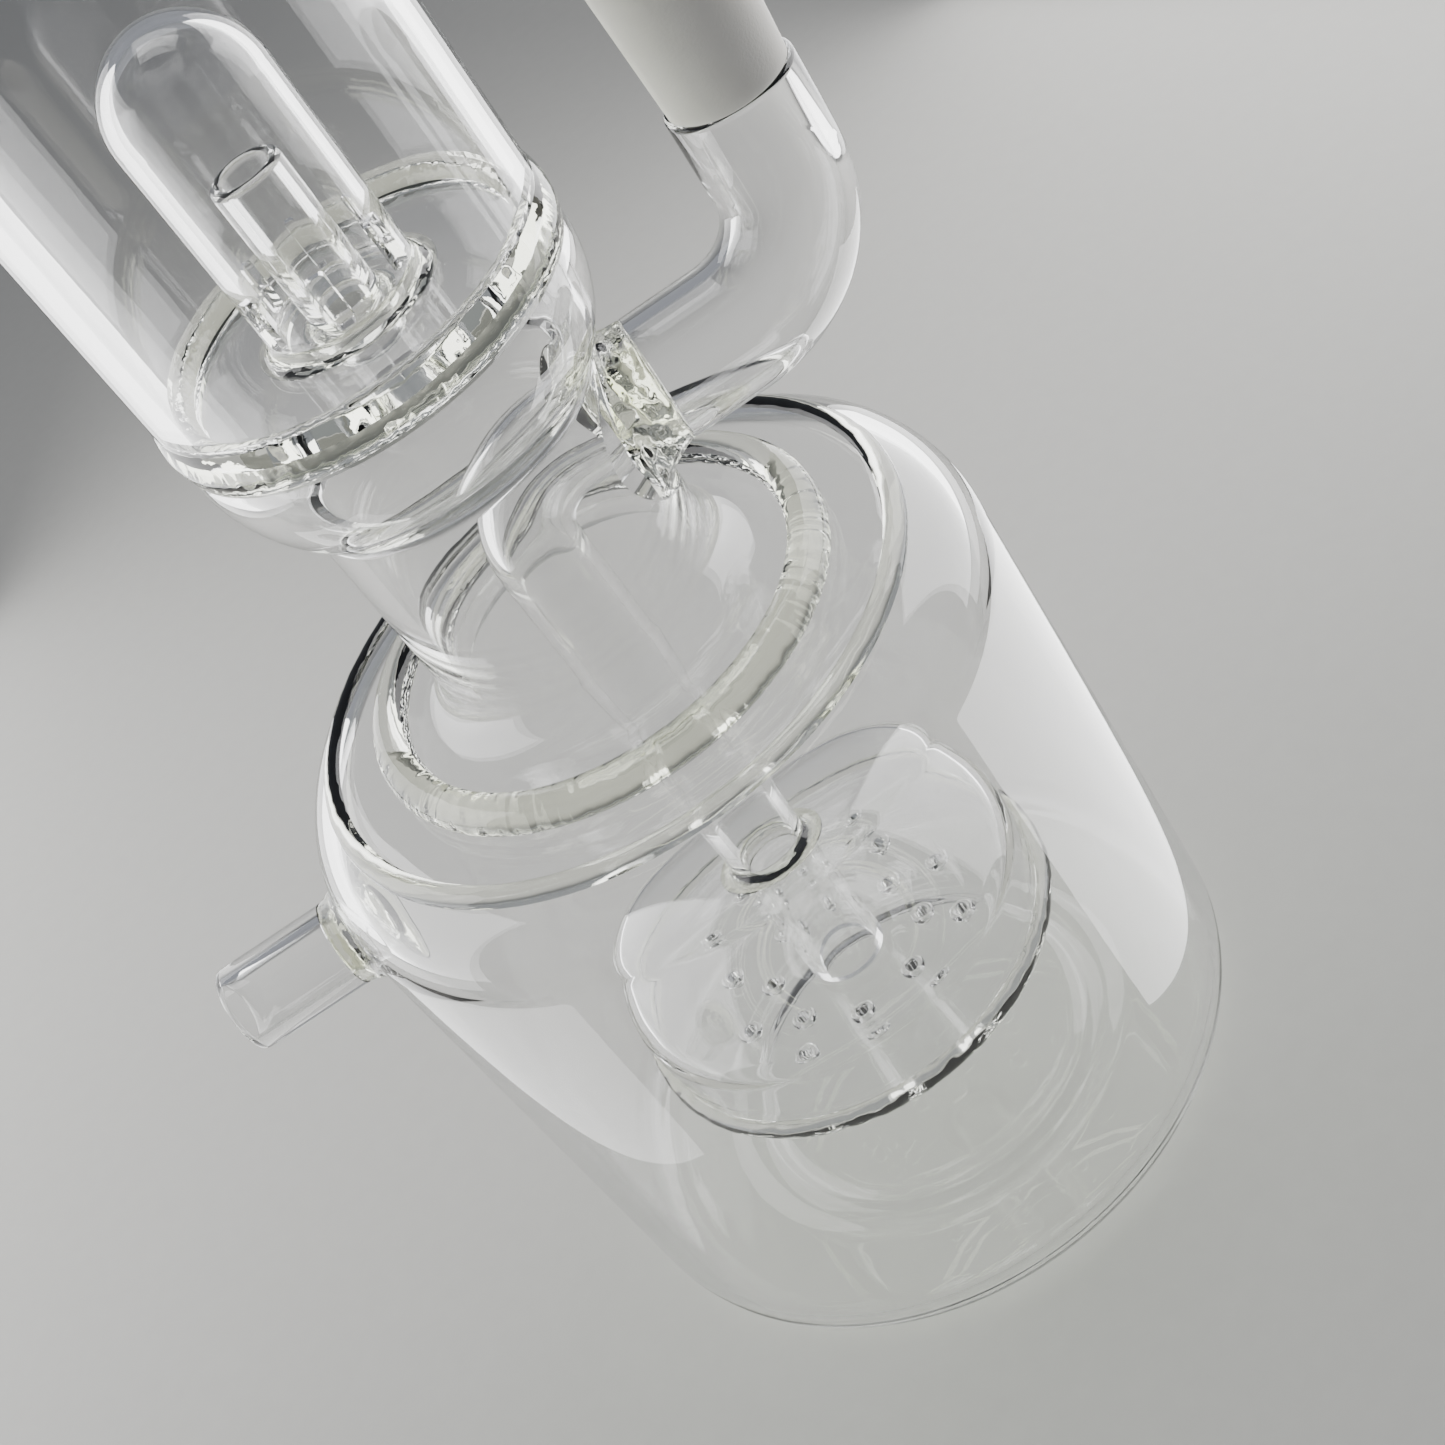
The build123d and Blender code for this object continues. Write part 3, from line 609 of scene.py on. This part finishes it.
arm_low, arm_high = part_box("side_arm_tube")
arm_x = arm_high[0] / MM - ARM_R
arm_start = arm_low[0] / MM
arm_top = arm_high[2] / MM
ARM_Z = arm_low[2] / MM + ARM_R


def drawn_tube(name, r_out, r_in, start, lengths_before, corner, steps, lengths_after):
    """A ring of glass pushed level along X, turned up or down round a corner, then pushed on."""
    pick_none()
    way = 1 if corner[0] > start else -1
    rise = 1 if corner[1] > ARM_Z else -1
    bpy.ops.mesh.primitive_circle_add(vertices=96, radius=r_out * MM, location=(start * MM, 0, ARM_Z * MM),
                                      rotation=(0, way * pi / 2, 0))
    piece = bpy.context.object
    bpy.ops.object.transform_apply(location=True, rotation=True, scale=True)
    bpy.ops.object.mode_set(mode="EDIT")
    bpy.ops.mesh.select_all(action="SELECT")
    bpy.ops.mesh.extrude_region_move()
    shrink = r_in / r_out
    bpy.ops.transform.resize(value=(shrink, shrink, shrink), center_override=(start * MM, 0, ARM_Z * MM))
    bpy.ops.mesh.select_all(action="SELECT")
    for length in lengths_before:
        bpy.ops.mesh.extrude_region_move(TRANSFORM_OT_translate={"value": (way * length * MM, 0, 0)})
    knee = start + way * sum(lengths_before)
    pivot = (knee * MM, 0, (ARM_Z + rise * abs(corner[0] - knee)) * MM)
    for n in range(steps):
        bpy.ops.mesh.extrude_region_move()
        bpy.ops.transform.rotate(value=way * rise * pi / 2 / steps, orient_axis="Y", center_override=pivot)
    for length in lengths_after:
        bpy.ops.mesh.extrude_region_move(TRANSFORM_OT_translate={"value": (0, 0, rise * length * MM)})
    bpy.ops.mesh.select_all(action="SELECT")
    bpy.ops.mesh.remove_doubles(threshold=0.003 * MM)
    bpy.ops.mesh.normals_make_consistent(inside=False)
    bpy.ops.object.mode_set(mode="OBJECT")
    piece.name = name
    piece.data.name = name
    return piece


leg = arm_x - ARM_BEND - arm_start
up = arm_top - ARM_Z - ARM_BEND
side_arm = drawn_tube("Side_arm_tube", ARM_R, ARM_IN, arm_start, [0.05, leg - 0.05], (arm_x, arm_top), 24,
                      [0.05, up - 0.05])
bpy.ops.object.mode_set(mode="EDIT")
bpy.ops.mesh.select_all(action="DESELECT")
bpy.ops.object.mode_set(mode="OBJECT")
for edge in side_arm.data.edges:
    ends = [side_arm.data.vertices[i].co for i in edge.vertices]
    edge.select = all(abs(p.z - arm_top * MM) < NEAR and hypot(p.x - arm_x * MM, p.y) > 7.5 * MM for p in ends)
bpy.ops.object.mode_set(mode="EDIT")
bpy.ops.mesh.select_mode(type="EDGE")
bpy.ops.mesh.bevel(offset=(ARM_R - SOCKET_FOOT_R - 0.03) * MM, segments=5, affect="EDGES")
bpy.ops.object.mode_set(mode="OBJECT")
dress(side_arm, clear_glass)
fuse(side_arm, (ARM_IN, ARM_R), (arm_start, arm_start), (0, ARM_Z), lying=True)
fuse(side_arm, (ARM_IN, SOCKET_FOOT_R + 0.05), (arm_top, arm_top), (arm_x, 0))
settle(side_arm, "side_arm_tube")


# Downstem: 11.5 mm tube sealed to the inside of the neck, bent down the axis and led into the puck.
STEM_R = 5.75
STEM_IN = 4.25
STEM_BEND = 10.0
PUCK_WELD = 2.4

stem_low, stem_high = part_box("downstem")
stem_root = stem_high[0] / MM
stem_foot = stem_low[2] / MM
puck_low, puck_top = heights_of("puck_body")
crown_under = puck_top - 1.8
stops = [ARM_Z - STEM_BEND, 90, 70, puck_top + PUCK_WELD, puck_top, crown_under, 40, stem_foot]
falls = [a - b for a, b in zip(stops, stops[1:])]
downstem = drawn_tube("Downstem", STEM_R, STEM_IN, stem_root, [0.05, stem_root - STEM_BEND - 0.05],
                      (0, stem_foot), 20, falls)
dress(downstem, clear_glass)
fuse(downstem, (STEM_IN, STEM_R), (stem_root, stem_root), (0, ARM_Z), lying=True)
fuse(downstem, (STEM_R, STEM_R), (crown_under, puck_top + PUCK_WELD))
settle(downstem, "downstem")


# Ring seal: side arm, neck wall and downstem melted into one joint, with a heavy crinkled collar
# outside. It is shaped from the joint's own solid, softened and worked.
def melted(name, node, grain_mm, depth_mm, free):
    """A CAD joint made fine and soft, then crinkled wherever free(point) says its skin is free."""
    pick_none()
    source = nodes[node]
    piece = source.copy()
    piece.data = source.data.copy()
    piece.data.materials.clear()
    bpy.context.scene.collection.objects.link(piece)
    piece.parent = None
    piece.name = name
    piece.data.name = name
    piece.select_set(True)
    bpy.context.view_layer.objects.active = piece
    bpy.ops.object.mode_set(mode="EDIT")
    bpy.ops.mesh.select_all(action="SELECT")
    bpy.ops.mesh.remove_doubles(threshold=0.003 * MM)
    bpy.ops.mesh.customdata_custom_splitnormals_clear()
    bpy.ops.object.mode_set(mode="OBJECT")
    fine = piece.modifiers.new("Fine", "REMESH")
    fine.mode = "VOXEL"
    fine.voxel_size = 0.3 * MM
    bpy.ops.object.modifier_apply(modifier=fine.name)
    soft = piece.modifiers.new("Soft", "SMOOTH")
    soft.factor = 0.5
    soft.iterations = 5
    bpy.ops.object.modifier_apply(modifier=soft.name)
    loose = piece.vertex_groups.new(name="worked")
    for v in piece.data.vertices:
        loose.add([v.index], free(v.co / MM), "REPLACE")
    grain = bpy.data.textures.new(name + " grain", "CLOUDS")
    grain.noise_scale = grain_mm * MM
    grain.noise_depth = 2
    change = piece.modifiers.new("Crinkle", "DISPLACE")
    change.texture = grain
    change.texture_coords = "LOCAL"
    change.strength = 2 * depth_mm * MM
    change.mid_level = 0.5
    change.vertex_group = loose.name
    bpy.ops.object.modifier_apply(modifier=change.name)
    piece.vertex_groups.clear()
    return piece


def seal_skin(p):
    """1 on the collar outside the neck, easing to nothing where it meets its neighbours."""
    out = hypot(p.x, p.y) - NECK_R
    rim = SEAL_R - hypot(p.y, p.z - SEAL_Z)
    return max(0.0, min(1.0, out / 0.6, rim / 0.6 + 0.4, (arm_start - p.x) / 1.0))


ring_seal = melted("Ring_seal", "ring_seal", 2.0, 0.14, seal_skin)
dress(ring_seal, weld_glass, 60)
for face in ring_seal.data.polygons:
    c = face.center / MM
    in_wall = NECK_IN - 0.3 < hypot(c.x, c.y) < NECK_R + 0.15
    flank = in_wall and hypot(c.y, c.z - SEAL_Z) > SEAL_R - 0.3 and abs(face.normal.x) < 0.6
    ends = c.x > arm_start - 0.2 and face.normal.x > 0.8 or c.x < stem_root + 0.2 and face.normal.x < -0.8
    if flank or ends:
        face.material_index = 1
settle(ring_seal, "ring_seal")


# Ground socket: the female half of a 14.5 mm ground joint, tapered 1 in 10 and matt from grinding.
SOCKET_WALL = 1.15
MOUTH_R = 7.25
TAPER = 0.1

socket_low, socket_high = heights_of("ground_socket")
rim_bottom, rim_top = heights_of("socket_rim")


def cone_r(z):
    """Radius of the ground cone at a height."""
    return MOUTH_R - TAPER / 2 * (rim_top - z)


ground_glass = blank_material("Borosilicate, ground with carborundum")
tree = ground_glass.node_tree
where = add(tree, "ShaderNodeTexCoord").outputs["Object"]
# Carborundum grit leaves pits of about 0.1 mm; drawn at 0.35 mm so that they show.
pits = add(tree, "ShaderNodeTexNoise", Vector=where, Scale=1 / (0.35 * MM), Detail=4.0)
cloud = add(tree, "ShaderNodeTexNoise", Vector=where, Scale=1 / (7.0 * MM), Detail=2.0)
tone = add(tree, "ShaderNodeMix", {"data_type": "RGBA"}, i0=cloud.outputs[0], i6=linear("#f6f3ec"),
           i7=linear("#ebe7dd"))
matt = add(tree, "ShaderNodeMapRange", i0=pits.outputs[0], i3=0.5, i4=0.72)
skin = add(tree, "ShaderNodeBump", Height=pits.outputs[0], Distance=0.03 * MM)
frost = add(tree, "ShaderNodeBsdfPrincipled", Base_Color=tone.outputs[2], Roughness=matt.outputs[0], IOR=1.47,
            Transmission_Weight=0.12, Normal=skin.outputs[0])
add(tree, "ShaderNodeOutputMaterial", Surface=frost.outputs[0])

low_r = cone_r(socket_low)
high_r = cone_r(socket_high)
outline = run((low_r + SOCKET_WALL, socket_low), (high_r + SOCKET_WALL, socket_high), 8)
outline += run((high_r, socket_high), (low_r, socket_low), 8)
ground_socket = turned("Ground_socket", outline, 128, (arm_x, 0))
dress(ground_socket, ground_glass)
settle(ground_socket, "ground_socket")


# Socket rim: the bead at the mouth of the socket, rounded in the flame after grinding began below it.
RIM_BULGE = 1.1
bead_out = high_r + SOCKET_WALL
bead_h = rim_top - rim_bottom
outline = [(high_r, rim_bottom)] + bulge((bead_out, rim_bottom), (bead_out, rim_top), -RIM_BULGE, 14)
outline += bulge((bead_out, rim_top), (MOUTH_R, rim_top), 0.0, 4)
socket_rim = turned("Socket_rim", outline, 128, (arm_x, 0))
dress(socket_rim, ground_glass, 60)
settle(socket_rim, "socket_rim")


# Puck body: a crowned cup blown from 60 mm tube, closed round the downstem. It spreads the gas over
# the plate below.
PUCK_R = 29.8
PUCK_IN = 28.0
PUCK_BALL = 60.0
PUCK_CORNER = 4.0
PUCK_BEAD = 1.5

PLATE_T = 2.0
plate_top = heights_of("puck_plate")[1]
plate_low = plate_top - PLATE_T
ball_z = puck_top - sqrt(PUCK_BALL ** 2 - STEM_R ** 2)
corner_r = PUCK_R - PUCK_CORNER
corner_z = ball_z + sqrt((PUCK_BALL - PUCK_CORNER) ** 2 - corner_r ** 2)
tilt = degrees(atan2(corner_z - ball_z, corner_r))


def crown_line(inset, count):
    """Crown and rounded corner of the puck, from the stem out to the wall."""
    r = PUCK_BALL - inset
    start = degrees(acos(STEM_R / r))
    return (arc((0, ball_z), r, start, tilt, count)
            + arc((corner_r, corner_z), PUCK_CORNER - inset, tilt, 0, count // 2))


weld_edge = STEM_R + PUCK_WELD
outer = crown_line(0, 24)
inner = crown_line(PUCK_R - PUCK_IN, 24)
bead_top = plate_low + 2 * PUCK_BEAD
outline = outer + [(PUCK_R, bead_top), (PUCK_R, plate_top), (PUCK_IN, plate_top)] + inner[::-1]
puck_body = turned("Puck_body", outline, 200)
dress(puck_body, clear_glass)
fuse(puck_body, (PUCK_R, PUCK_R), (plate_top, bead_top))
fuse(puck_body, (PUCK_IN, PUCK_R), (plate_top, plate_top))
fuse(puck_body, (STEM_R, STEM_R), (crown_under - 0.2, puck_top))
settle(puck_body, "puck_body")


# Puck plate: the underside, dished a little downward by its own weight while it was soft, and poked
# with two rows of small holes. Each hole keeps the raised lip that the hot tungsten pick leaves.
HOLE_R = 0.9
DISH = 4.0
HOLE_ROWS = ((10, 17.7, 14.0), (8, 11.8, 35.0))
dish_ball = (PUCK_IN ** 2 + DISH ** 2) / (2 * DISH)


def dished(r, level):
    """Height of the dished plate at a radius, on the face whose edge is at a level."""
    return level - DISH + dish_ball - sqrt(dish_ball ** 2 - r ** 2)


reach = [PUCK_IN * n / 26 for n in range(27)]
rim_low = plate_top - PLATE_T
outline = [(r, dished(r, rim_low)) for r in reach] + [(PUCK_R, rim_low), (PUCK_R, plate_top)]
outline += [(r, dished(r, plate_top)) for r in reversed(reach)]
puck_plate = turned("Puck_plate", outline, 160)
spots = []
for count, ring, first in HOLE_ROWS:
    for n in range(count):
        turn = radians(first + 360 * n / count)
        spots.append(Vector((ring * cos(turn), ring * sin(turn), dished(ring, plate_top))))
for x, y, z in spots:
    pick_none()
    bpy.ops.mesh.primitive_torus_add(major_radius=(HOLE_R + 0.42) * MM, minor_radius=0.5 * MM, major_segments=24,
                                     minor_segments=10, location=Vector((x, y, z + 0.18)) * MM)
    lip = bpy.context.object
    pick_none()
    puck_plate.select_set(True)
    bpy.context.view_layer.objects.active = puck_plate
    change = puck_plate.modifiers.new("Lip", "BOOLEAN")
    change.operation = "UNION"
    change.solver = "EXACT"
    change.object = lip
    bpy.ops.object.modifier_apply(modifier=change.name)
    bpy.data.objects.remove(lip)
for x, y, z in spots:
    pick_none()
    bpy.ops.mesh.primitive_cylinder_add(vertices=24, radius=HOLE_R * MM, depth=8 * MM,
                                        location=Vector((x, y, z)) * MM)
    cut_with(puck_plate, bpy.context.object)
dress(puck_plate, clear_glass, 45)
fuse(puck_plate, (PUCK_R, PUCK_R), (rim_low, plate_top))
fuse(puck_plate, (PUCK_IN, PUCK_R), (plate_top, plate_top))
settle(puck_plate, "puck_plate")


# Puck rim: the bead where cup and plate were run together, thick and slightly crinkled.
outline = arc((PUCK_R, plate_low + PUCK_BEAD), PUCK_BEAD, -90, 90, 16) + [(PUCK_R, plate_top)]
puck_rim = turned("Puck_rim", outline, 360)
dress(puck_rim, weld_glass)
fuse(puck_rim, (PUCK_R, PUCK_R), (plate_low, bead_top))
crinkle(puck_rim, 2.2, 0.18)
settle(puck_rim, "puck_rim")


# Puck weld: the collar that closes the crown of the puck round the downstem.
crown_z = ball_z + sqrt(PUCK_BALL ** 2 - weld_edge ** 2)
outline = [(STEM_R, puck_top), (weld_edge, crown_z)]
outline += arc((weld_edge, puck_top + PUCK_WELD), PUCK_WELD, 268, 182, 10) + [(STEM_R, puck_top + PUCK_WELD)]
puck_weld = turned("Puck_weld", outline, 200)
dress(puck_weld, weld_glass, 60)
fuse(puck_weld, (STEM_R, STEM_R), (puck_top, puck_top + PUCK_WELD))
crinkle(puck_weld, 1.8, 0.15)
settle(puck_weld, "puck_weld")


# Hose nipple: 12 mm thick-walled tube with a fire-rounded lip, standing straight out of the jar.
NIPPLE_R = 6.0
NIPPLE_IN = 4.0

tip, root = [v[0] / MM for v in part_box("nipple_tube")]
lip_r = (NIPPLE_R - NIPPLE_IN) / 2
outline = run((NIPPLE_R, root), (NIPPLE_R, tip + lip_r), 6)
outline += [(NIPPLE_IN + lip_r + lip_r * cos(radians(t)), tip + lip_r - lip_r * sin(radians(t))) for t in range(10, 180, 17)]
outline += run((NIPPLE_IN, tip + lip_r), (NIPPLE_IN, root), 6)
nipple_tube = turned("Nipple_tube", outline, 112, (0, NIPPLE_Z), lying=True)
dress(nipple_tube, clear_glass, 60)
fuse(nipple_tube, (NIPPLE_IN, NIPPLE_R), (root, root), (0, NIPPLE_Z), lying=True)
settle(nipple_tube, "nipple_tube")


# Nipple seal: the patch of jar wall drawn out to meet the nipple, thick and crinkled at its foot.
def nipple_skin(p):
    """1 on the flare outside the jar, easing to nothing where it meets its neighbours."""
    out = hypot(p.x, p.y) - JAR_R
    rim = NIPPLE_SEAL_R - hypot(p.y, p.z - NIPPLE_Z)
    return max(0.0, min(1.0, out / 0.6, rim / 0.6 + 0.3, (p.x - root) / 1.0))


nipple_seal = melted("Nipple_seal", "nipple_seal", 2.6, 0.25, nipple_skin)
dress(nipple_seal, weld_glass, 60)
for face in nipple_seal.data.polygons:
    c = face.center / MM
    in_wall = jar_in - 0.3 < hypot(c.x, c.y) < JAR_R + 0.15
    flank = in_wall and hypot(c.y, c.z - NIPPLE_Z) > NIPPLE_SEAL_R - 0.3 and abs(face.normal.x) < 0.6
    if flank or (c.x < root + 0.2 and face.normal.x < -0.8):
        face.material_index = 1
settle(nipple_seal, "nipple_seal")


# Studio: a plain pale floor swept out wide, soft light from broad panels, and the camera.
floor_colour = linear("#a09f9b")
pick_none()
bpy.ops.mesh.primitive_plane_add(size=8, location=(0, 0, -0.0002))
studio_floor = bpy.context.object
studio_floor.name = "Studio_floor"
paper = blank_material("Seamless paper, pale")
tree = paper.node_tree
where = add(tree, "ShaderNodeTexCoord").outputs["Object"]
fibre = add(tree, "ShaderNodeTexNoise", Vector=where, Scale=260.0, Detail=4.0)
tone = add(tree, "ShaderNodeMix", {"data_type": "RGBA"}, i0=fibre.outputs[0], i6=floor_colour, i7=linear("#a5a4a0"))
sheet = add(tree, "ShaderNodeBsdfPrincipled", Base_Color=tone.outputs[2], Roughness=0.9)
add(tree, "ShaderNodeOutputMaterial", Surface=sheet.outputs[0])
studio_floor.data.materials.append(paper)


def panel(name, place, aim, size, watts, tint="#ffffff"):
    """A soft light panel aimed at a point, sizes in metres; it lights and reflects but isn't in shot."""
    lamp = bpy.data.lights.new(name, "AREA")
    lamp.shape = "RECTANGLE"
    lamp.size, lamp.size_y = size
    lamp.energy = watts
    lamp.color = linear(tint)[:3]
    item = bpy.data.objects.new(name, lamp)
    item.location = place
    item.rotation_euler = (Vector(aim) - Vector(place)).to_track_quat("-Z", "Y").to_euler()
    item.visible_camera = False
    bpy.context.scene.collection.objects.link(item)


# Two upright panels flank the glass, so that its walls carry long soft streaks, and a third hangs above.
panel("Right panel", (0.205, 0.15, 0.17), (0.0, 0.02, 0.17), (0.30, 0.33), 1.5)
panel("Left panel", (-0.215, 0.12, 0.17), (0.0, 0.05, 0.17), (0.36, 0.33), 1.5)
panel("Top panel", (0.05, 0.25, 0.75), (0, 0.02, 0.1), (0.45, 0.30), 2.0)


def strip(name, middle, size, turn, watts):
    """A low strip lying by the jar and facing up, which upright walls seen from above mirror."""
    panel(name, (middle[0], middle[1], 0.002), (middle[0], middle[1], 1.0), size, watts)
    item = bpy.data.objects[name]
    item.rotation_euler = (pi, 0, radians(turn))
    item.visible_diffuse = False
    item.visible_transmission = False


strip("Right strip", (0.108, 0.035), (0.085, 0.17), -12, 0.28)
strip("Left strip", (-0.118, 0.0), (0.06, 0.13), 18, 0.07)

world = bpy.data.worlds.new("Soft room")
world.use_nodes = True
world.node_tree.nodes.clear()
room = add(world.node_tree, "ShaderNodeBackground", Color=linear("#8a8d94"), Strength=1.2)
add(world.node_tree, "ShaderNodeOutputWorld", Surface=room.outputs[0])
bpy.context.scene.world = world

lens = bpy.data.cameras.new("Camera")
lens.lens = 58.23
lens.sensor_width = 36.0
lens.clip_start = 0.01
camera = bpy.data.objects.new("Camera", lens)
camera.location = (0.02879, -0.23444, 0.25510)
camera.rotation_euler = Euler((radians(45.658), radians(28.378), radians(-19.169)), "XYZ")
bpy.context.scene.collection.objects.link(camera)
bpy.context.scene.camera = camera

# Light has to pass four or more walls of glass, each with two faces.
bpy.context.scene.cycles.max_bounces = 24
bpy.context.scene.cycles.transmission_bounces = 24
bpy.context.scene.cycles.glossy_bounces = 8
bpy.context.scene.cycles.transparent_max_bounces = 48
